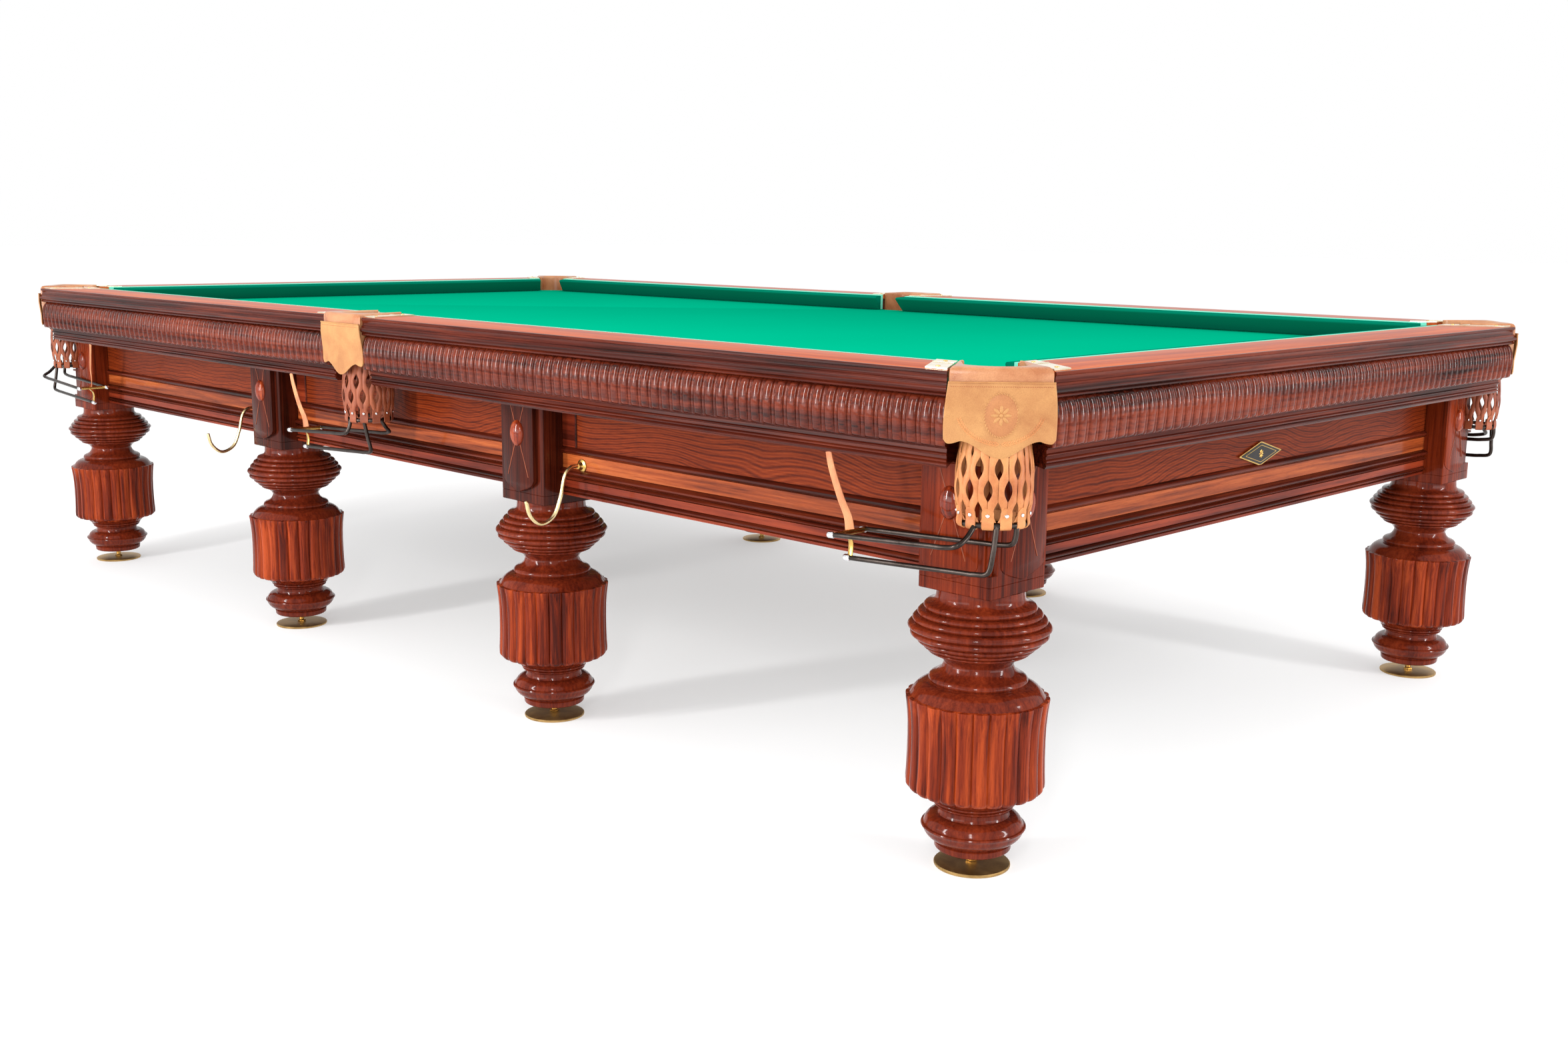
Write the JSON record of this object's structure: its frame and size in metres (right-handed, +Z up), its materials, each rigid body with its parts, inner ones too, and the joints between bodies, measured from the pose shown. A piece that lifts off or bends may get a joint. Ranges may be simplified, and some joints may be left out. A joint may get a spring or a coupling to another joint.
{
  "type": "pool table",
  "caption": "Long billiard table on turned legs, with slate bed, green cloth, carved wooden rails, leather pockets with nets, and open rod racks that return the balls.",
  "frame": {"origin": "on the floor under the middle of the table", "axes": "+X along the table's length, +Y across it, +Z up"},
  "size_m": [3.9468, 2.177, 0.899],
  "materials": {
    "rail_wood": "satin lacquered mahogany, darker and carved on its outer side",
    "cushion_cloth": "dark green billiard cloth over rubber",
    "slate": "honed slate",
    "bed_cloth": "green napless billiard cloth",
    "apron_wood": "figured rosewood veneer under gloss lacquer",
    "beam_wood": "plain sawn hardwood",
    "pocket_leather": "tan stitched leather",
    "net_leather": "cut leather lattice",
    "rack_metal": "dark coated rods with chrome sheen",
    "leg_wood": "dark mahogany under gloss lacquer",
    "foot_brass": "bronzed brass",
    "hook_brass": "polished brass",
    "plate_enamel": "black enamel with a brass border"
  },
  "bodies": {
    "table": {"rail_front_left": "rail_wood", "cushion_front_left": "cushion_cloth", "rail_front_right": "rail_wood", "cushion_front_right": "cushion_cloth", "rail_back_left": "rail_wood", "cushion_back_left": "cushion_cloth", "rail_back_right": "rail_wood", "cushion_back_right": "cushion_cloth", "rail_left": "rail_wood", "cushion_left": "cushion_cloth", "rail_right": "rail_wood", "cushion_right": "cushion_cloth", "slate_right": "slate", "slate_middle": "slate", "slate_left": "slate", "bed_cloth": "bed_cloth", "apron_front": "apron_wood", "apron_back": "apron_wood", "apron_left": "apron_wood", "apron_right": "apron_wood", "cross_beam_left": "beam_wood", "cross_beam_middle": "beam_wood", "cross_beam_right": "beam_wood", "pocket_leather_front_right": "pocket_leather", "net_front_right": "net_leather", "ball_rack_front_right": "rack_metal", "pocket_leather_front_middle": "pocket_leather", "net_front_middle": "net_leather", "ball_rack_front_middle": "rack_metal", "pocket_leather_front_left": "pocket_leather", "net_front_left": "net_leather", "ball_rack_front_left": "rack_metal", "pocket_leather_back_right": "pocket_leather", "net_back_right": "net_leather", "ball_rack_back_right": "rack_metal", "pocket_leather_back_middle": "pocket_leather", "net_back_middle": "net_leather", "ball_rack_back_middle": "rack_metal", "pocket_leather_back_left": "pocket_leather", "net_back_left": "net_leather", "ball_rack_back_left": "rack_metal", "leg_front_right": "leg_wood", "leg_front_middle_right": "leg_wood", "leg_front_middle_left": "leg_wood", "leg_front_left": "leg_wood", "leg_back_right": "leg_wood", "leg_back_middle_right": "leg_wood", "leg_back_middle_left": "leg_wood", "leg_back_left": "leg_wood", "cue_rest_hook_right": "hook_brass", "cue_rest_hook_left": "hook_brass", "diamond_plate": "plate_enamel"},
    "foot_front_right": {"foot_front_right": "foot_brass"},
    "foot_front_middle_right": {"foot_front_middle_right": "foot_brass"},
    "foot_front_middle_left": {"foot_front_middle_left": "foot_brass"},
    "foot_front_left": {"foot_front_left": "foot_brass"},
    "foot_back_right": {"foot_back_right": "foot_brass"},
    "foot_back_middle_right": {"foot_back_middle_right": "foot_brass"},
    "foot_back_middle_left": {"foot_back_middle_left": "foot_brass"},
    "foot_back_left": {"foot_back_left": "foot_brass"}
  },
  "joints": [
    {"name": "foot_front_right_screw", "type": "slide", "parent": "table", "child": "foot_front_right", "axis": [0, 0, 1], "range_m": [-0.02, 0.02]},
    {"name": "foot_front_middle_right_screw", "type": "slide", "parent": "table", "child": "foot_front_middle_right", "axis": [0, 0, 1], "range_m": [-0.02, 0.02]},
    {"name": "foot_front_middle_left_screw", "type": "slide", "parent": "table", "child": "foot_front_middle_left", "axis": [0, 0, 1], "range_m": [-0.02, 0.02]},
    {"name": "foot_front_left_screw", "type": "slide", "parent": "table", "child": "foot_front_left", "axis": [0, 0, 1], "range_m": [-0.02, 0.02]},
    {"name": "foot_back_right_screw", "type": "slide", "parent": "table", "child": "foot_back_right", "axis": [0, 0, 1], "range_m": [-0.02, 0.02]},
    {"name": "foot_back_middle_right_screw", "type": "slide", "parent": "table", "child": "foot_back_middle_right", "axis": [0, 0, 1], "range_m": [-0.02, 0.02]},
    {"name": "foot_back_middle_left_screw", "type": "slide", "parent": "table", "child": "foot_back_middle_left", "axis": [0, 0, 1], "range_m": [-0.02, 0.02]},
    {"name": "foot_back_left_screw", "type": "slide", "parent": "table", "child": "foot_back_left", "axis": [0, 0, 1], "range_m": [-0.02, 0.02]}
  ]
}
